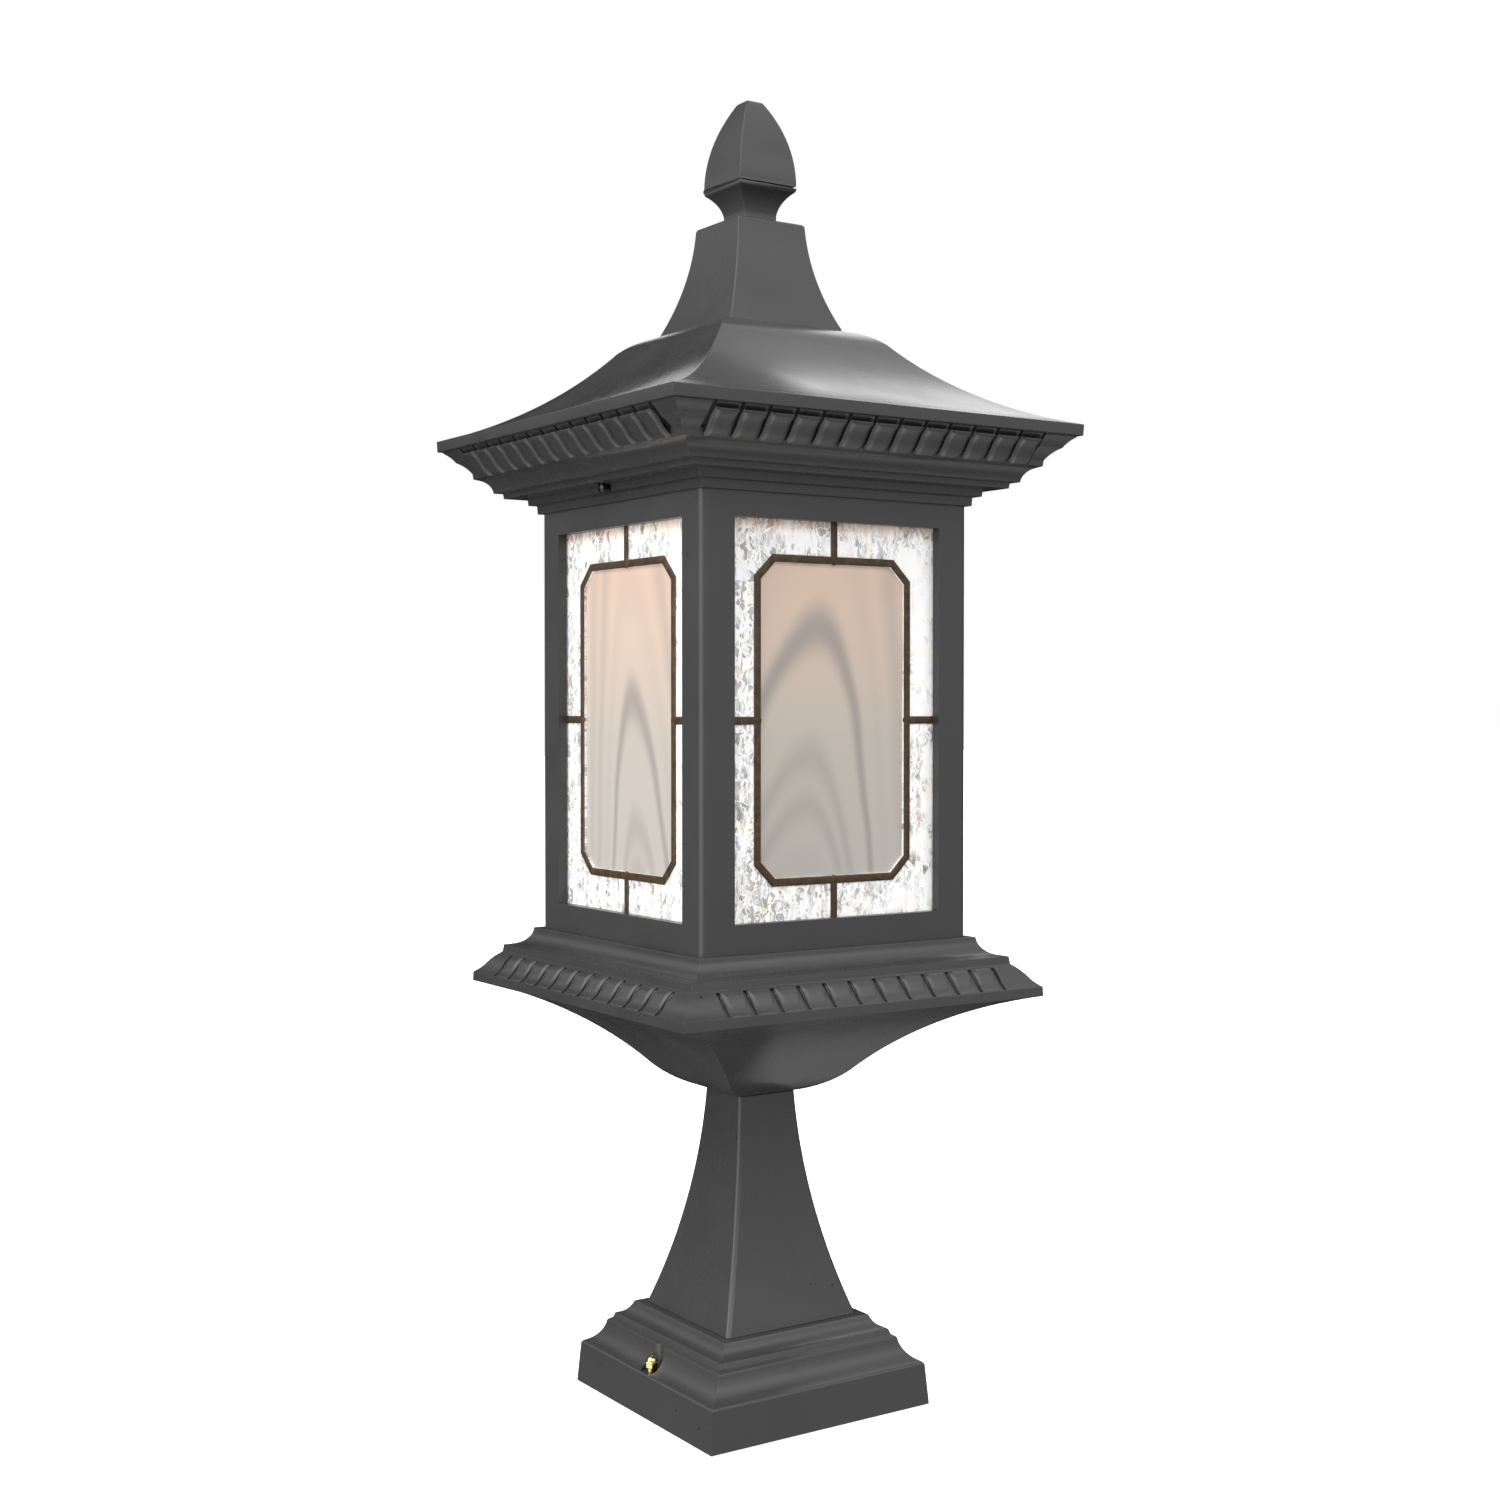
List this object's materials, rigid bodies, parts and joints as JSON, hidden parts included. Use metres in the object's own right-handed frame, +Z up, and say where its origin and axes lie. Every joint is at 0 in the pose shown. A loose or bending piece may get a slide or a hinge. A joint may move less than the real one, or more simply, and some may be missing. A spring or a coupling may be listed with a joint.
{
  "type": "pier mount lantern",
  "caption": "Square cast-metal outdoor lantern for a pier: stepped base, flared stem, bowl, leaded glass cage with an octagon in each window, beaded cornices and a pagoda roof with a finial.",
  "frame": {"origin": "centre of the base's underside, where the lantern rests on its pier", "axes": "+Z up; -Y is the front window, +X the right window; the brass cap nuts and the roof's set screws are on -X and +X"},
  "size_m": [0.274, 0.274, 0.7585],
  "materials": {
    "powder_coat": "satin charcoal powder coat on cast aluminium, fine orange peel",
    "polished_brass": "polished and lacquered",
    "zinc_steel": "bright zinc plated steel",
    "blackened_steel": "blackened steel, slightly oily",
    "green_steel": "green lacquered ground screw",
    "sleeve_white": "satin off-white tube",
    "cup_brass": "satin brass pressing",
    "shell_nickel": "bright thin metal shell",
    "porcelain": "glazed white porcelain",
    "wire_insulation": "smooth insulation",
    "terminal_plastic": "moulded, ivory",
    "frosted_glass": "inside-frosted lamp glass",
    "centre_pane": "opalescent sheet glass with soft swirls, smooth face",
    "border_pane": "clear rippled art glass, white where light catches it",
    "lead_came": null
  },
  "bodies": {
    "lantern": {"pier_base": "powder_coat", "stem": "powder_coat", "bowl": "powder_coat", "tray": "powder_coat", "cage": "powder_coat", "centre_contact": "polished_brass", "mounting_strap": "zinc_steel", "mounting_studs": "zinc_steel", "stud_nuts": "zinc_steel", "centre_tube": "zinc_steel", "tube_nuts": "zinc_steel", "tube_washers": "zinc_steel", "corner_clips": "zinc_steel", "cage_screws": "blackened_steel", "clip_screws": "blackened_steel", "terminal_screw": "blackened_steel", "ground_screw": "green_steel", "candle_sleeve": "sleeve_white", "socket_cup": "cup_brass", "screw_shell": "shell_nickel", "lampholder": "porcelain", "leads": "wire_insulation", "terminal_block": "terminal_plastic", "centre_glass_front": "centre_pane", "centre_glass_right": "centre_pane", "centre_glass_rear": "centre_pane", "centre_glass_left": "centre_pane", "border_glass_front": "border_pane", "border_glass_right": "border_pane", "border_glass_rear": "border_pane", "border_glass_left": "border_pane", "came_front": "lead_came", "came_right": "lead_came", "came_rear": "lead_came", "came_left": "lead_came"},
    "roof": {"cornice": "powder_coat", "cornice_screws": "blackened_steel", "roof_cap": "powder_coat", "spire": "powder_coat", "tie_rod": "zinc_steel", "tie_bar": "zinc_steel", "tie_nuts": "zinc_steel"},
    "lamp": {"lamp_cap": "shell_nickel", "lamp_glass": "frosted_glass"},
    "finial": {"finial": "powder_coat"},
    "roof_screw_left": {"roof_screw_left": "blackened_steel"},
    "roof_screw_right": {"roof_screw_right": "blackened_steel"},
    "cap_nut_left": {"cap_nut_left": "polished_brass"},
    "cap_nut_right": {"cap_nut_right": "polished_brass"}
  },
  "joints": [
    {"name": "roof_lift", "type": "slide", "parent": "lantern", "child": "roof", "axis": [0, 0, 1], "range_m": [0, 0.25]},
    {"name": "roof_screw_left_out", "type": "slide", "parent": "roof", "child": "roof_screw_left", "axis": [-1, 0, 0], "range_m": [0, 0.006]},
    {"name": "roof_screw_right_out", "type": "slide", "parent": "roof", "child": "roof_screw_right", "axis": [1, 0, 0], "range_m": [0, 0.006]},
    {"name": "finial_turn", "type": "hinge", "parent": "roof", "child": "finial", "pos_m": [0, 0, 0.7], "axis": [0, 0, 1], "continuous": true},
    {"name": "cap_nut_left_off", "type": "slide", "parent": "lantern", "child": "cap_nut_left", "axis": [0, 0, 1], "range_m": [0, 0.009]},
    {"name": "cap_nut_right_off", "type": "slide", "parent": "lantern", "child": "cap_nut_right", "axis": [0, 0, 1], "range_m": [0, 0.009]},
    {"name": "lamp_out", "type": "slide", "parent": "lantern", "child": "lamp", "axis": [0, 0, 1], "range_m": [0, 0.028]}
  ]
}
